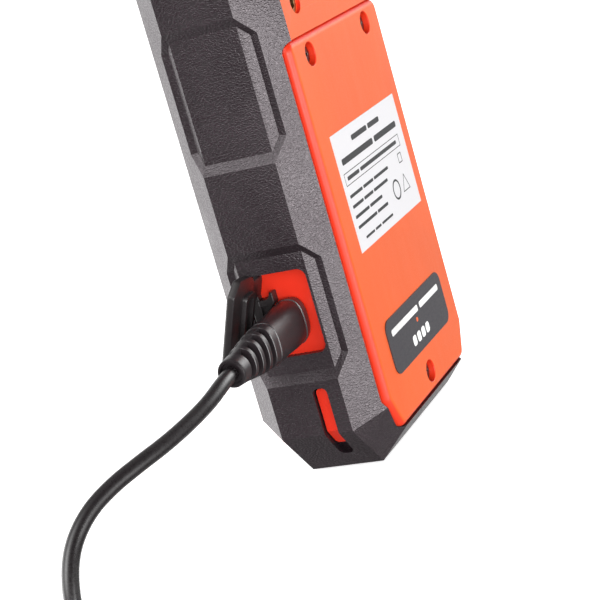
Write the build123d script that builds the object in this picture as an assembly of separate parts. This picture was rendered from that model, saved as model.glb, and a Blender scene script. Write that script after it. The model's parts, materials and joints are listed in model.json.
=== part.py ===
from build123d import *
import math
import os

# A rugged two-way radio on its charging lead.
# It stands upright on its base: +Z is up towards the antenna, -Y is the speaker side,
# +Y is the battery side, +X is the side with the charging port and -X the side with the keys.
# The origin is the middle of the flat base. All lengths are in millimetres.

# ---- driving dimensions: outer form -------------------------------------------------
HALF_WIDTH = 30.0
BODY_HEIGHT = 118.0
BACK_Y = 14.75                 # flat of the back, and of the front below
FRONT_Y = -14.8
SIDE_REAR_Y = 7.65             # rear and front edges of the flat side wall
SIDE_FRONT_Y = -8.2            # the two case halves also part here
CORNER_Z = 10.0                # the cut corner runs from the side wall at this height
CORNER_X = 22.1                # to the base at this half width
BASE_REAR_Y = 8.7              # rear and front edges of the flat base
BASE_FRONT_Y = -7.4
BACK_HALF_WIDTH = 22.9         # where the rear and front bevels reach the flats
FRONT_HALF_WIDTH = 23.4

# ---- driving dimensions: shells -----------------------------------------------------
BUMPER_T = 2.7                 # rubber bumper over the hard case
WALL_T = 1.8                   # hard case wall
PLAY = 0.12                    # gap round parts that are dropped into place
PAD_DEPTH = 1.2                # grip pads sunk into the side walls
PAD_WRAP = 2.3                 # how far a pad goes on round each bevel
PADS = ((23.4, 48.0), (68.3, 93.3))      # floor of each pad, low and high
PAD_RAMP_LOW = 2.0             # height of the ramp under and over each pad
PAD_RAMP_HIGH = 1.75

COVER_BOTTOM = 6.1             # battery cover
COVER_TOP = 87.5
COVER_HALF_WIDTH = 24.6
COVER_FOOT_HALF_WIDTH = 20.8
COVER_CORNER_Z = 13.3
COVER_Y = 14.8
COVER_T = 1.8
COVER_ROUND = 1.4
CASE_BACK_Y = 14.4             # hard case above the battery cover
CASE_FRONT_Y = -14.5
PANEL_BOTTOM = 8.2             # orange face of the front half
PANEL_TOP = 110.4
PANEL_HALF_WIDTH = 22.9

# ---- driving dimensions: inside -----------------------------------------------------
BOARD_T = 1.2                  # the board's rear face is y = 0
BAY_FLOOR_Y = 3.4
BAY_FLOOR_T = 1.4
BAY_HALF_WIDTH = 22.0
BAY_BOTTOM, BAY_TOP = 14.5, 79.5
BATTERY = (41.0, 7.6, 55.0)
BAY_BLOCK_TOP = 84.5
CASE_SCREWS = [(side * 17.5, z) for side in (-1, 1) for z in (17.2, 77.2)]
COVER_SCREWS = [(-15.8, 83.5), (15.8, 83.5), (0.0, 10.4)]
SCREW_RECESS_R = 2.35
CLIP_X, CLIP_Z = 15.5, 94.0    # threaded inserts that take a belt clip
CLIP_THREAD_R = 1.25

# ---- driving dimensions: port, plug and lead ----------------------------------------
PORT_Y, PORT_Z = 1.4, 34.5
WINDOW_Y = (-7.1, 6.6)
WINDOW_Z = (27.0, 44.6)
SLOT_Y = (1.4, 4.5)
SLOT_Z = (3.8, 19.9)
PLUG_START, PLUG_PARTING, RELIEF_END = 27.75, 43.5, 59.8
PLUG_HEIGHT, PLUG_DEPTH = 9.4, 6.3
SLOTS_IN_RELIEF, FIRST_SLOT, SLOT_PITCH = 4, 47.0, 3.0
CABLE_R = 1.5
COIL_CENTRE = (140.0, 0.0)
COIL_OUTER_R = 22.9            # centre line of the outermost turn
COIL_TURNS_PER_LAYER = 4.02     # wound clockwise, in below and out again above
TURN_PITCH = 3.0
RELIEF_LIFT = 1.4              # degrees that the cable pulls the strain relief up
CABLE_ROUTE = [(RELIEF_END, 1.4, 34.9), (63.1, 1.6, 34.9), (69.6, 0.9, 33.3), (75.9, -0.8, 32.0),
               (82.1, -2.8, 31.0), (88.2, -5.3, 30.2), (94.2, -8.0, 29.1), (100.1, -10.4, 27.1),
               (105.3, -12.1, 23.1), (109.6, -11.8, 17.8), (112.0, -10.9, 11.6), (112.9, -8.3, 5.7),
               (114.0, -3.8, 2.0), (115.9, 1.6, 1.5)]
COIL_ENTRY = (118.1, 6.2, 1.5)
COIL_EXIT = (120.7, 12.3, 4.5)
TAIL_ROUTE = [COIL_EXIT, (126.7, 19.6, 5.2), (135.2, 23.3, 6.9), (144.9, 22.7, 8.8),
              (150.15, 19.7, 9.7), (153.2, 14.7, 10.0), (153.2, 8.6, 10.0)]

# ---- driving dimensions: controls ---------------------------------------------------
TOP_Y = 0.6                    # line of the antenna and knobs
ANTENNA_X, CHANNEL_X, VOLUME_X = -16.5, -1.0, 14.6
ANTENNA_TIP = 176.0
KNOB_R, KNOB_BOTTOM, KNOB_TOP = 6.7, 118.4, 131.0
SHAFT_R, SHAFT_PLAY = 3.0, 0.05
KEY_Y = 1.6                    # line of the key plungers
PLUNGER_R = 1.5
KEYS = {"ptt_button": (-6.0, 6.0, 70.6, 91.0, -30.7, -28.5),
        "upper_side_key": (-4.6, 4.6, 37.6, 45.6, -30.1, -28.4),
        "lower_side_key": (-4.6, 4.6, 26.0, 34.0, -30.1, -28.4)}
KEY_GAP = 0.35


# ---- small builders -----------------------------------------------------------------
def block(x, y, z):
    """Box between (low, high) pairs."""
    size = [high - low for low, high in (x, y, z)]
    centre = [(high + low) / 2 for low, high in (x, y, z)]
    return Pos(*centre) * Box(*size)


def rod(axis, start, length, radius):
    """Cylinder from a start point along a unit axis."""
    return extrude(Plane(origin=start, z_dir=axis) * Circle(radius), amount=length)


def prism(points, direction, length):
    """Solid swept from a closed outline of points along a direction."""
    return extrude(make_face(Polyline(*points, close=True)), amount=length, dir=direction)


def rounded_block(x, y, z, axis, radius):
    """Box whose four edges along an axis are rounded."""
    solid = block(x, y, z)
    return fillet(solid.edges().filter_by(axis), radius)


def save(name, *solids):
    """Write one node: one solid or a group of separate solids."""
    shape = solids[0] if len(solids) == 1 else Compound(children=list(solids))
    shape.label = name
    export_step(shape, f"parts/{name}.step")


# ---- outer form ---------------------------------------------------------------------
def quarter_facets():
    """Three points on each sloping facet of the lower +X quarter."""
    run, rise = HALF_WIDTH - CORNER_X, CORNER_Z
    normal_x, normal_z = rise / math.hypot(run, rise), run / math.hypot(run, rise)
    facets = [[(HALF_WIDTH, 0, CORNER_Z), (CORNER_X, 0, 0), (HALF_WIDTH, 5, CORNER_Z)]]
    for side_y, flat_y, flat_x, base_y in (
            (SIDE_REAR_Y, BACK_Y, BACK_HALF_WIDTH, BASE_REAR_Y),
            (SIDE_FRONT_Y, FRONT_Y, FRONT_HALF_WIDTH, BASE_FRONT_Y)):
        bevel = HALF_WIDTH - flat_x
        facets.append([(HALF_WIDTH, side_y, 0), (flat_x, flat_y, 0), (HALF_WIDTH, side_y, 5)])
        facets.append([(HALF_WIDTH, side_y, CORNER_Z), (CORNER_X, base_y, 0),
                       (HALF_WIDTH - bevel * normal_x, flat_y, CORNER_Z + bevel * normal_z)])
        facets.append([(0, base_y, 0), (0, flat_y, abs(flat_y - base_y)), (5, base_y, 0)])
    return facets


def envelope(inset=0.0):
    """The radio's outer form, or the same form with every face moved in by inset."""
    solid = block((-HALF_WIDTH + inset, HALF_WIDTH - inset), (FRONT_Y + inset, BACK_Y - inset),
                  (inset, BODY_HEIGHT - inset))
    middle = Vector(0, 0, BODY_HEIGHT / 2)
    for facet in quarter_facets():
        for side in (-1, 1):
            for flipped in (False, True):
                a, b, c = [Vector(side * x, y, BODY_HEIGHT - z if flipped else z)
                           for x, y, z in facet]
                normal = (b - a).cross(c - a).normalized()
                if normal.dot(middle - a) > 0:
                    normal = normal * -1
                solid = split(solid, Plane(origin=a - normal * inset, z_dir=normal),
                              keep=Keep.BOTTOM)
    return solid


def pad_cutter(low, high):
    """What a grip pad takes off the +X wall: a shallow tray that wraps onto both bevels."""
    floor_x = HALF_WIDTH - PAD_DEPTH
    slide = PAD_DEPTH * (math.sqrt(2) - 1)
    turn = PAD_WRAP / math.sqrt(2)
    outline = []
    for side_y, sign in ((SIDE_FRONT_Y, -1), (SIDE_REAR_Y, 1)):
        knee = (floor_x, side_y - sign * slide)
        heel = (knee[0] - turn, knee[1] + sign * turn)
        lip = (heel[0] + 0.15, heel[1] + sign * 1.55)
        outline += [knee, heel, lip, (HALF_WIDTH + 6, lip[1])][::sign]
    tray = prism([(x, y, low - 20) for x, y in outline], (0, 0, 1), high - low + 40)
    reach = 4.0
    ramp_low, ramp_high = PAD_RAMP_LOW / PAD_DEPTH, PAD_RAMP_HIGH / PAD_DEPTH
    trapezoid = [(floor_x - reach, -30, low + reach * ramp_low),
                 (floor_x + reach, -30, low - reach * ramp_low),
                 (floor_x + reach, -30, high + reach * ramp_high),
                 (floor_x - reach, -30, high - reach * ramp_high)]
    return tray & prism(trapezoid, (0, 1, 0), 60)


def cover_outline(grow, y, length):
    """Prism of the battery cover's outline, grown by a gap, with its corners rounded."""
    wide, foot = COVER_HALF_WIDTH + grow, COVER_FOOT_HALF_WIDTH + grow * 0.5
    low, corner, high = COVER_BOTTOM - grow, COVER_CORNER_Z - grow * 0.5, COVER_TOP + grow
    points = [(foot, y, low), (wide, y, corner), (wide, y, high),
              (-wide, y, high), (-wide, y, corner), (-foot, y, low)]
    return fillet(prism(points, (0, 1, 0), length).edges().filter_by(Axis.Y), 2.2)


def upper_case_block(grow, y, length):
    """Block of the hard case that shows above the battery cover."""
    half, top = BACK_HALF_WIDTH - 0.1 + grow, BODY_HEIGHT - 7.2 + grow
    return block((-half, half), (y, y + length), (COVER_TOP + PLAY, top))


def panel_block(grow, y, length):
    """Block of the orange face on the front, with cut corners."""
    half, cut = PANEL_HALF_WIDTH + grow, 7.0
    low, high = PANEL_BOTTOM - grow, PANEL_TOP + grow
    points = [(half - cut, y, low), (half, y, low + cut), (half, y, high - cut),
              (half - cut, y, high), (cut - half, y, high), (-half, y, high - cut),
              (-half, y, low + cut), (cut - half, y, low)]
    return fillet(prism(points, (0, 1, 0), length).edges().filter_by(Axis.Y), 2.0)


def halves(solid):
    """The rear and the front half of a solid that parts at the case line."""
    plane = Plane(origin=(0, SIDE_FRONT_Y, 0), z_dir=(0, 1, 0))
    return split(solid, plane, keep=Keep.TOP), split(solid, plane, keep=Keep.BOTTOM)


def top_holes(radius, low, high):
    """Three bores through the top, for the antenna and the two knobs."""
    return [rod((0, 0, 1), (x, TOP_Y, low), high - low, radius)
            for x in (ANTENNA_X, CHANNEL_X, VOLUME_X)]


# ---- shells -------------------------------------------------------------------------
def make_bumpers():
    """Black rubber bumper in two halves, with pads, port window, slot and key openings."""
    shell = envelope() - envelope(BUMPER_T)
    shell -= cover_outline(PLAY, 0, 20) + upper_case_block(0.1, 0, 20)
    shell -= panel_block(0.1, -20, 18)
    for low, high in PADS:
        cutter = pad_cutter(low, high)
        shell -= cutter
        shell -= mirror(cutter, about=Plane.YZ)
    shell -= rounded_block((20, 40), WINDOW_Y, WINDOW_Z, Axis.X, 1.8)
    slot = rounded_block((20, 40), SLOT_Y, SLOT_Z, Axis.X, 1.2)
    slot_floor = envelope(BUMPER_T - 0.6) & block((15, 40), SLOT_Y, (SLOT_Z[0] - 1, 6.6))
    shell -= slot - slot_floor
    for y0, y1, z0, z1, _, _ in KEYS.values():
        shell -= rounded_block((-40, -20), (y0 - KEY_GAP, y1 + KEY_GAP),
                               (z0 - KEY_GAP, z1 + KEY_GAP), Axis.X, 1.8)
    for hole in top_holes(5.3, BODY_HEIGHT - BUMPER_T - 1, BODY_HEIGHT + 1):
        shell -= hole
    return halves(shell)


def seal_band():
    """Ring that seals the two halves of the hard case."""
    ring = envelope(BUMPER_T + 0.5) - envelope(BUMPER_T + 1.3)
    return ring & block((-40, 40), (SIDE_FRONT_Y - 0.45, SIDE_FRONT_Y + 0.45), (-5, 130))


def make_rear_case():
    """Orange rear shell: case, battery bay and the block that shows above the cover."""
    case = envelope(BUMPER_T) + cover_outline(-0.05, 5, COVER_Y - COVER_T - 5)
    case += upper_case_block(0, 5, CASE_BACK_Y - 5)
    case += envelope(1.0) & rounded_block((20, 40), (SLOT_Y[0] + 0.3, SLOT_Y[1] - 0.3),
                                          (6.7, SLOT_Z[1] - 0.4), Axis.X, 0.8)
    bay_block = block((-40, 40), (BAY_FLOOR_Y, 40), (-5, BAY_BLOCK_TOP))
    case -= envelope(BUMPER_T + WALL_T) - bay_block
    case -= rounded_block((-BAY_HALF_WIDTH, BAY_HALF_WIDTH), (BAY_FLOOR_Y + BAY_FLOOR_T, 30),
                          (BAY_BOTTOM, BAY_TOP), Axis.Y, 1.5)
    for x, z in CASE_SCREWS:
        case += rod((0, 1, 0), (x, 0, z), BAY_FLOOR_Y + 0.1, 2.5)
        case -= rod((0, 1, 0), (x, -1, z), 8, 1.1)
        case -= rod((0, 1, 0), (x, BAY_FLOOR_Y + 0.1, z), 4, 2.0)
    case -= make_cover_seal()
    for x, z in COVER_SCREWS:
        case -= rod((0, 1, 0), (x, 6.0, z), 20, 1.3)
        case -= rod((0, 1, 0), (x, 11.4, z), 20, 3.3)
    for side in (-1, 1):
        place = (side * CLIP_X, 7.4, CLIP_Z)
        case += rod((0, 1, 0), place, 3.4, 3.4)
        case -= rod((0, 1, 0), (place[0], 7.0, place[2]), 7, 2.1)
        case -= rod((0, 1, 0), (place[0], 13.6, place[2]), 3, SCREW_RECESS_R)
        case -= block((side * 6.5 - 1.8, side * 6.5 + 1.8), (3, 6), (14.9, 16.7))
    case -= rounded_block((24, 40), (PORT_Y - 1.6, PORT_Y + 1.6), (PORT_Z - 4.1, PORT_Z + 4.1),
                          Axis.X, 0.8)
    for y0, y1, z0, z1, _, _ in KEYS.values():
        case -= rod((-1, 0, 0), (-20, KEY_Y, (z0 + z1) / 2), 12, 2.3)
    for hole in top_holes(4.05, BODY_HEIGHT - 8, BODY_HEIGHT + 1):
        case -= hole
    return halves(case)[0] - seal_band()


def make_front_case():
    """Orange front shell: front wall, grille recess, sound opening and screw bosses."""
    case = envelope(BUMPER_T) + panel_block(0, CASE_FRONT_Y, 6)
    case -= envelope(BUMPER_T + WALL_T)
    case = halves(case)[1]
    for x, z in CASE_SCREWS:
        case += rod((0, 1, 0), (x, FRONT_Y + 4.0, z), 14.8 - 4.0 - BOARD_T, 2.5)
        case -= rod((0, 1, 0), (x, FRONT_Y + 3.4, z), 14, 1.03)
    case -= rounded_block((-GRILLE_HALF - PLAY, GRILLE_HALF + PLAY), (-20, GRILLE_BACK_Y),
                          (GRILLE_Z[0] - PLAY, GRILLE_Z[1] + PLAY), Axis.Y, 5)
    case -= rod((0, 1, 0), (0, -20, SPEAKER_Z), 15, 15.5)
    case -= rod((0, 1, 0), (0, -20, MIC_Z), 15, 0.7)
    case -= rod((0, 1, 0), (LENS_X, -20, LENS_Z), 15, 1.6)
    return case - seal_band()


# ---- front parts --------------------------------------------------------------------
GRILLE_HALF = 17.5
GRILLE_Z = (39.0, 84.0)
GRILLE_BACK_Y = -13.2
SPEAKER_Z = 61.5
MIC_Z = 24.0
LENS_X, LENS_Z = 13.0, 97.5


def make_grille():
    """Speaker grille: a thick plate with rows of slots inside a round field."""
    plate = rounded_block((-GRILLE_HALF, GRILLE_HALF), (CASE_FRONT_Y - 0.5, GRILLE_BACK_Y),
                          GRILLE_Z, Axis.Y, 5)
    plate = fillet(plate.faces().sort_by(Axis.Y)[0].edges(), 0.5)
    for row in range(-4, 5):
        height = row * 3.4
        half = math.sqrt(15.2 ** 2 - height ** 2)
        plate -= rounded_block((-half, half), (-20, -10),
                               (SPEAKER_Z + height - 0.8, SPEAKER_Z + height + 0.8), Axis.Y, 0.75)
    return plate


def make_speaker():
    """Loudspeaker: basket with a shallow cone and a magnet behind."""
    profile = [(0, -8.9), (5, -8.7), (14, -9.9), (17.6, -9.9), (17.6, -8.8), (14.6, -7.6),
               (9.2, -6.6), (9.2, -4.2), (0, -4.2)]
    outline = Polyline(*[(x, y, 0) for x, y in profile], close=True)
    solid = revolve(make_face(outline), axis=Axis.Y)
    return Pos(0, 0, SPEAKER_Z) * solid


# ---- battery side -------------------------------------------------------------------
def make_battery_cover():
    """Orange battery cover with a rounded rim, screw recesses and bosses underneath."""
    plate = cover_outline(0, COVER_Y - COVER_T, COVER_T)
    plate = fillet(plate.faces().sort_by(Axis.Y)[-1].edges(), COVER_ROUND)
    for x, z in COVER_SCREWS:
        plate += rod((0, 1, 0), (x, 11.6, z), 2.0, 3.1)
        plate -= rod((0, 1, 0), (x, 12.4, z), 5, SCREW_RECESS_R)
        plate -= rod((0, 1, 0), (x, 10, z), 5, 1.35)
    return plate


def make_cover_seal():
    """Flat gasket between the battery cover and the rim of the bay."""
    y = (12.4, 13.0)
    outer = rounded_block((-23.4, 23.4), y, (BAY_BOTTOM - 0.3, BAY_TOP + 0.3), Axis.Y, 2.5)
    inner = rounded_block((-BAY_HALF_WIDTH, BAY_HALF_WIDTH), (12, 14),
                          (BAY_BOTTOM, BAY_TOP), Axis.Y, 1.5)
    return outer - inner


def screw(x, z, head_top, head_r, head_t, shank_r, length):
    """Pan-head screw driven towards -Y, with a cross recess."""
    head = rod((0, 1, 0), (x, head_top - head_t, z), head_t, head_r)
    head = fillet(head.faces().sort_by(Axis.Y)[-1].edges(), 0.3)
    head += rod((0, 1, 0), (x, head_top - head_t - length, z), length + 0.1, shank_r)
    arm, depth = head_r * 0.55, 0.6
    for half_x, half_z in ((arm, 0.28), (0.28, arm)):
        head -= block((x - half_x, x + half_x), (head_top - depth, head_top + 1),
                      (z - half_z, z + half_z))
    return head


def make_clip_inserts():
    """Two brass inserts with a thread for the belt clip's screws."""
    inserts = []
    for side in (-1, 1):
        place = (side * CLIP_X, 8.4, CLIP_Z)
        inserts.append(rod((0, 1, 0), place, 5.2, 2.1) - rod((0, 1, 0), place, 6, CLIP_THREAD_R))
    return inserts


def make_contacts():
    """Two spring blades from the board up to the battery's end."""
    blades = []
    for side in (-1, 1):
        x = (side * 6.5 - 1.5, side * 6.5 + 1.5)
        blades.append(block(x, (0, 9.4), (15.4, 15.9)) + block(x, (8.9, 9.4), (15.4, 18.6)))
    return blades


# ---- electronics --------------------------------------------------------------------
def make_board():
    """Main circuit board with holes for the case screws."""
    board = rounded_block((-23.5, 23.5), (-BOARD_T, 0), (13.0, 104.0), Axis.Y, 4)
    for x, z in CASE_SCREWS:
        board -= rod((0, 1, 0), (x, -3, z), 6, 1.3)
    return board


def make_charge_socket():
    """Micro socket: a metal box with a tongue, open towards +X."""
    y, z = (PORT_Y - 1.35, PORT_Y + 1.25), (PORT_Z - 3.85, PORT_Z + 3.85)
    shell = block((20.2, 25.4), y, z)
    shell -= block((21.0, 26), (PORT_Y - 0.95, PORT_Y + 0.95), (PORT_Z - 3.48, PORT_Z + 3.48))
    return shell + block((20.5, 24.9), (PORT_Y - 0.3, PORT_Y + 0.3), (PORT_Z - 1.8, PORT_Z + 1.8))


def make_control(x, body_size):
    """Potentiometer or encoder with its bushing, which the shaft turns in."""
    half_x, half_y, depth = body_size
    body = block((x - half_x, x + half_x), (TOP_Y - half_y, TOP_Y + half_y), (113.4 - depth, 113.4))
    body += rod((0, 0, 1), (x, TOP_Y, 113.3), 4.3, 4.0)
    return body - rod((0, 0, 1), (x, TOP_Y, 109.9), 20, SHAFT_R + SHAFT_PLAY)


def make_nut(x):
    """Round slotted nut that clamps a control's bushing to the case."""
    bottom = BODY_HEIGHT - BUMPER_T + 0.7
    nut = rod((0, 0, 1), (x, TOP_Y, bottom), 1.5, 5.0) - rod((0, 0, 1), (x, TOP_Y, 110), 10, 4.0)
    return nut - block((x - 0.6, x + 0.6), (-10, 12), (bottom + 0.8, 120))


def make_washer_seal(x):
    """Rubber washer under a control's nut."""
    bottom = BODY_HEIGHT - BUMPER_T
    return rod((0, 0, 1), (x, TOP_Y, bottom), 0.7, 5.0) - rod((0, 0, 1), (x, TOP_Y, 110), 10, 4.0)


# ---- controls -----------------------------------------------------------------------
def make_shaft(x):
    """Control shaft from inside the bushing up into its knob."""
    return rod((0, 0, 1), (x, TOP_Y, 110.1), 18.9, SHAFT_R)


def make_knob(x, flutes):
    """Knob with a skirt, a fluted grip and a bore for its shaft."""
    skirt = rod((0, 0, 1), (x, TOP_Y, KNOB_BOTTOM), 2.2, KNOB_R)
    grip = rod((0, 0, 1), (x, TOP_Y, KNOB_BOTTOM + 2.0), KNOB_TOP - KNOB_BOTTOM - 2.0, KNOB_R - 0.6)
    for index in range(flutes):
        angle = 2 * math.pi * index / flutes
        reach = KNOB_R + 0.15
        grip -= rod((0, 0, 1), (x + reach * math.cos(angle), TOP_Y + reach * math.sin(angle),
                                KNOB_BOTTOM + 1.0), 20, 1.15)
    grip = chamfer(grip.faces().sort_by(Axis.Z)[-1].edges(), 0.5)
    return skirt + grip - rod((0, 0, 1), (x, TOP_Y, KNOB_BOTTOM - 1), 11.6, SHAFT_R)


def make_antenna():
    """Rubber antenna sleeve: tapered, ringed at the root and round at the tip."""
    radius_low, radius_high, root = 5.6, 4.1, BODY_HEIGHT + 5.0
    outline = [(1.2, 0, root), (radius_low, 0, root), (radius_low, 0, root + 3)]
    for ring in range(4):
        z = root + 3 + ring * 2.4
        outline += [(radius_low, 0, z), (radius_low - 0.55, 0, z + 0.4),
                    (radius_low - 0.55, 0, z + 1.2), (radius_low - 0.08, 0, z + 1.6)]
    outline += [(radius_high, 0, ANTENNA_TIP - radius_high)]
    points = [point for index, point in enumerate(outline) if point not in outline[:index]]
    side = Polyline(*points)
    slant = radius_high / math.sqrt(2)
    tip = ThreePointArc(points[-1], (slant, 0, ANTENNA_TIP - radius_high + slant),
                        (0, 0, ANTENNA_TIP))
    inner = Polyline((0, 0, ANTENNA_TIP), (0, 0, ANTENNA_TIP - 8), (1.2, 0, ANTENNA_TIP - 8),
                     points[0])
    sleeve = revolve(make_face(side + tip + inner), axis=Axis.Z)
    return Pos(ANTENNA_X, TOP_Y, 0) * sleeve


def make_antenna_collar():
    """Collar that the antenna grows out of, bedded in the top of the bumper."""
    collar = rod((0, 0, 1), (ANTENNA_X, TOP_Y, BODY_HEIGHT), 5.0, 6.6)
    collar = fillet(collar.faces().sort_by(Axis.Z)[-1].edges(), 0.8)
    collar += rod((0, 0, 1), (ANTENNA_X, TOP_Y, BODY_HEIGHT - BUMPER_T), BUMPER_T + 1, 5.1)
    return collar - rod((0, 0, 1), (ANTENNA_X, TOP_Y, 110), 20, 2.5)


def make_key(name):
    """Side key: a domed cap in its opening, with a plunger that reaches the switch."""
    y0, y1, z0, z1, x0, x1 = KEYS[name]
    cap = rounded_block((x0, x1), (y0, y1), (z0, z1), Axis.X, 1.6)
    cap = fillet(cap.faces().sort_by(Axis.X)[0].edges(), 0.9)
    ribs = 5 if name == "ptt_button" else 2
    middle = (z0 + z1) / 2
    for index in range(ribs):
        z = middle + (index - (ribs - 1) / 2) * 2.8
        cap -= rounded_block((x0 - 1, x0 + 0.5), (y0 + 2.2, y1 - 2.2), (z - 0.6, z + 0.6),
                             Axis.X, 0.5)
    return cap + rod((1, 0, 0), (x1 - 0.1, KEY_Y, middle), -25.1 - x1 + 0.1, PLUNGER_R)


def make_plunger_seal(name):
    """Ring in the case wall that a key's plunger slides through."""
    y0, y1, z0, z1, _, _ = KEYS[name]
    place = (-27.1, KEY_Y, (z0 + z1) / 2)
    return rod((1, 0, 0), place, 1.4, 2.3) - rod((1, 0, 0), place, 2, PLUNGER_R + 0.06)


def make_switch(name):
    """Tact switch on the board's edge, facing a plunger."""
    y0, y1, z0, z1, _, _ = KEYS[name]
    middle = (z0 + z1) / 2
    body = block((-23.5, -20.4), (0, 3.0), (middle - 2.6, middle + 2.6))
    return body + block((-24.05, -23.4), (KEY_Y - 0.7, KEY_Y + 0.7), (middle - 1.2, middle + 1.2))


# ---- port cover ---------------------------------------------------------------------
HINGE = (31.2, -7.7, 34.9)     # where the open cover bends
COVER_LEAN = 22.0              # degrees that its top leans back towards the port
FLAP_ROOT, FLAP_TIP = 1.0, 10.9         # reach out from the hinge
FLAP_LOW, FLAP_HIGH, FLAP_T = -6.8, 12.6, 1.7
FLAP_CUT = 2.6                 # cut corner at the upper tip


def make_port_flap():
    """Open rubber cover, standing out from the wall, with a sealing rim on its inner face."""
    back, face = -FLAP_T / 2, FLAP_T / 2
    outline = [(FLAP_ROOT, back, FLAP_LOW), (FLAP_TIP, back, FLAP_LOW),
               (FLAP_TIP, back, FLAP_HIGH - FLAP_CUT), (FLAP_TIP - FLAP_CUT, back, FLAP_HIGH),
               (FLAP_ROOT, back, FLAP_HIGH)]
    flap = fillet(prism(outline, (0, 1, 0), FLAP_T).edges().filter_by(Axis.Y), 1.0)
    flap = fillet(flap.faces().sort_by(Axis.Y)[0].edges(), 0.4)
    rim = rounded_block((1.6, 6.2), (face - 0.1, face + 0.9), (FLAP_LOW + 1.2, 9.0), Axis.Y, 1.2)
    rim -= rounded_block((2.6, 5.2), (0, 4), (FLAP_LOW + 2.2, 8.0), Axis.Y, 0.7)
    flap += rim
    return Pos(*HINGE) * Rot(-COVER_LEAN, 0, 0) * flap


def make_port_strap():
    """Fixed end of the port cover: a pad in the front of the window, with a lip on its top."""
    pad = block((27.3, 29.2), (-6.7, -2.4), (29.5, 43.7))
    pad += block((27.3, 29.2), (-2.5, -0.3), (39.9, 41.3))
    pad += block((29.1, 30.6), (-4.6, -0.3), (40.6, 41.3))
    return pad + block((29.1, 30.6), (-0.8, -0.1), (40.6, 43.0))


# ---- charging lead ------------------------------------------------------------------
def rounded_rectangle(x, height, depth, corner):
    """Rounded rectangle across the plug's axis at a distance out along it."""
    plane = Plane(origin=(x, PORT_Y, PORT_Z), x_dir=(0, 0, 1), z_dir=(1, 0, 0))
    return plane * RectangleRounded(height, depth, corner)


def make_plug_shell():
    """Metal tip of the charging plug, hollow, as far in as it seats in the socket."""
    start, length = 21.35, PLUG_START - 21.35 + 0.6
    outer = extrude(rounded_rectangle(start, 6.84, 1.80, 0.5), amount=length)
    return outer - extrude(rounded_rectangle(start - 1, 6.2, 1.2, 0.3), amount=length - 0.9)


def make_plug():
    """Moulded grip of the charging plug, narrower at the case."""
    stations = [(PLUG_START, 8.2, 4.8, 2.2), (PLUG_START + 2.7, PLUG_HEIGHT, PLUG_DEPTH, 2.8),
                (37.4, 9.0, 6.0, 2.7), (PLUG_PARTING, 8.9, 6.2, 2.7)]
    body = loft([rounded_rectangle(*station) for station in stations], ruled=True)
    return body - extrude(rounded_rectangle(20, 6.84, 1.80, 0.5), amount=8.35)


def make_relief():
    """Strain relief: a taper with four slots round its sides, joined by a spine above and below."""
    stations = [(PLUG_PARTING, 8.9, 6.2, 2.7), (47.0, 8.5, 6.2, 2.75), (50.0, 7.9, 6.1, 2.8),
                (53.0, 7.1, 5.9, 2.8), (56.0, 6.2, 5.8, 2.8), (RELIEF_END, 5.6, 5.6, 2.75)]
    taper = loft([rounded_rectangle(*station) for station in stations], ruled=True)
    for index in range(SLOTS_IN_RELIEF):
        x = FIRST_SLOT + SLOT_PITCH * index
        wide = 1.0 + 0.2 * index
        ring = extrude(rounded_rectangle(x - wide / 2, 12, 12, 2), amount=wide)
        core = extrude(rounded_rectangle(x - 2, 6.8 - 0.6 * index, 4.6 - 0.1 * index, 1.8), amount=4.0)
        spine = block((x - 2, x + 2), (PORT_Y - 0.8, PORT_Y + 0.8), (PORT_Z - 8, PORT_Z + 8))
        taper -= ring - core - spine
    root = (PLUG_PARTING, PORT_Y, PORT_Z)
    lifted = Rot(0, -RELIEF_LIFT, 0) * Pos(*[-value for value in root]) * taper
    return Pos(*root) * lifted - block((0, PLUG_PARTING), (-20, 20), (0, 60))


def tube_along(points):
    """Cable tube on straight runs joined by tangent arcs, and its length."""
    corners = []
    for before, corner, after in zip(points, points[1:], points[2:]):
        run_in, run_out = Vector(*corner) - Vector(*before), Vector(*after) - Vector(*corner)
        half_turn = math.radians(run_in.get_angle(run_out)) / 2
        corners.append(0.45 * min(run_in.length, run_out.length) / math.tan(half_turn))
    path = FilletPolyline(*points, radius=corners)
    start = Plane(origin=points[0], z_dir=path % 0)
    tube = sweep(start * Circle(CABLE_R), path=path)
    print("arc radii", [round(radius, 1) for radius in corners], "length", round(path.length, 1),
          "volume", round(tube.volume, 1), "expected", round(math.pi * CABLE_R ** 2 * path.length, 1))
    return tube


def make_coil():
    """Outer shape of the wound lead: a flat ring two turns high."""
    inner = COIL_OUTER_R - COIL_TURNS_PER_LAYER * TURN_PITCH - CABLE_R
    outer, height = COIL_OUTER_R + CABLE_R, 4 * CABLE_R
    centre = (*COIL_CENTRE, 0)
    ring = rod((0, 0, 1), centre, height, outer) - rod((0, 0, 1), centre, height, inner)
    return fillet(ring.edges(), 1.4)


def make_tie():
    """Strap round the coil's turns, with its ends pressed together outside."""
    inner = COIL_OUTER_R - COIL_TURNS_PER_LAYER * TURN_PITCH - CABLE_R
    outer, height, thick = COIL_OUTER_R + CABLE_R, 4 * CABLE_R, 0.7
    band = block((inner - thick, outer + thick), (-2.5, 2.5), (0, height + thick))
    band -= block((inner, outer), (-3, 3), (thick, height))
    band += block((outer + thick - 0.1, outer + 3.6), (-2.5, 2.5), (height - 3.4, height - 3.4 + thick))
    return Pos(*COIL_CENTRE, 0) * Rot(0, 0, -125) * band


USB_GRIP = (15.6, 16.0, 8.0)   # width, length and thickness of the large plug's grip
USB_RELIEF, USB_SLEEVE = 5.2, 11.8


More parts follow.
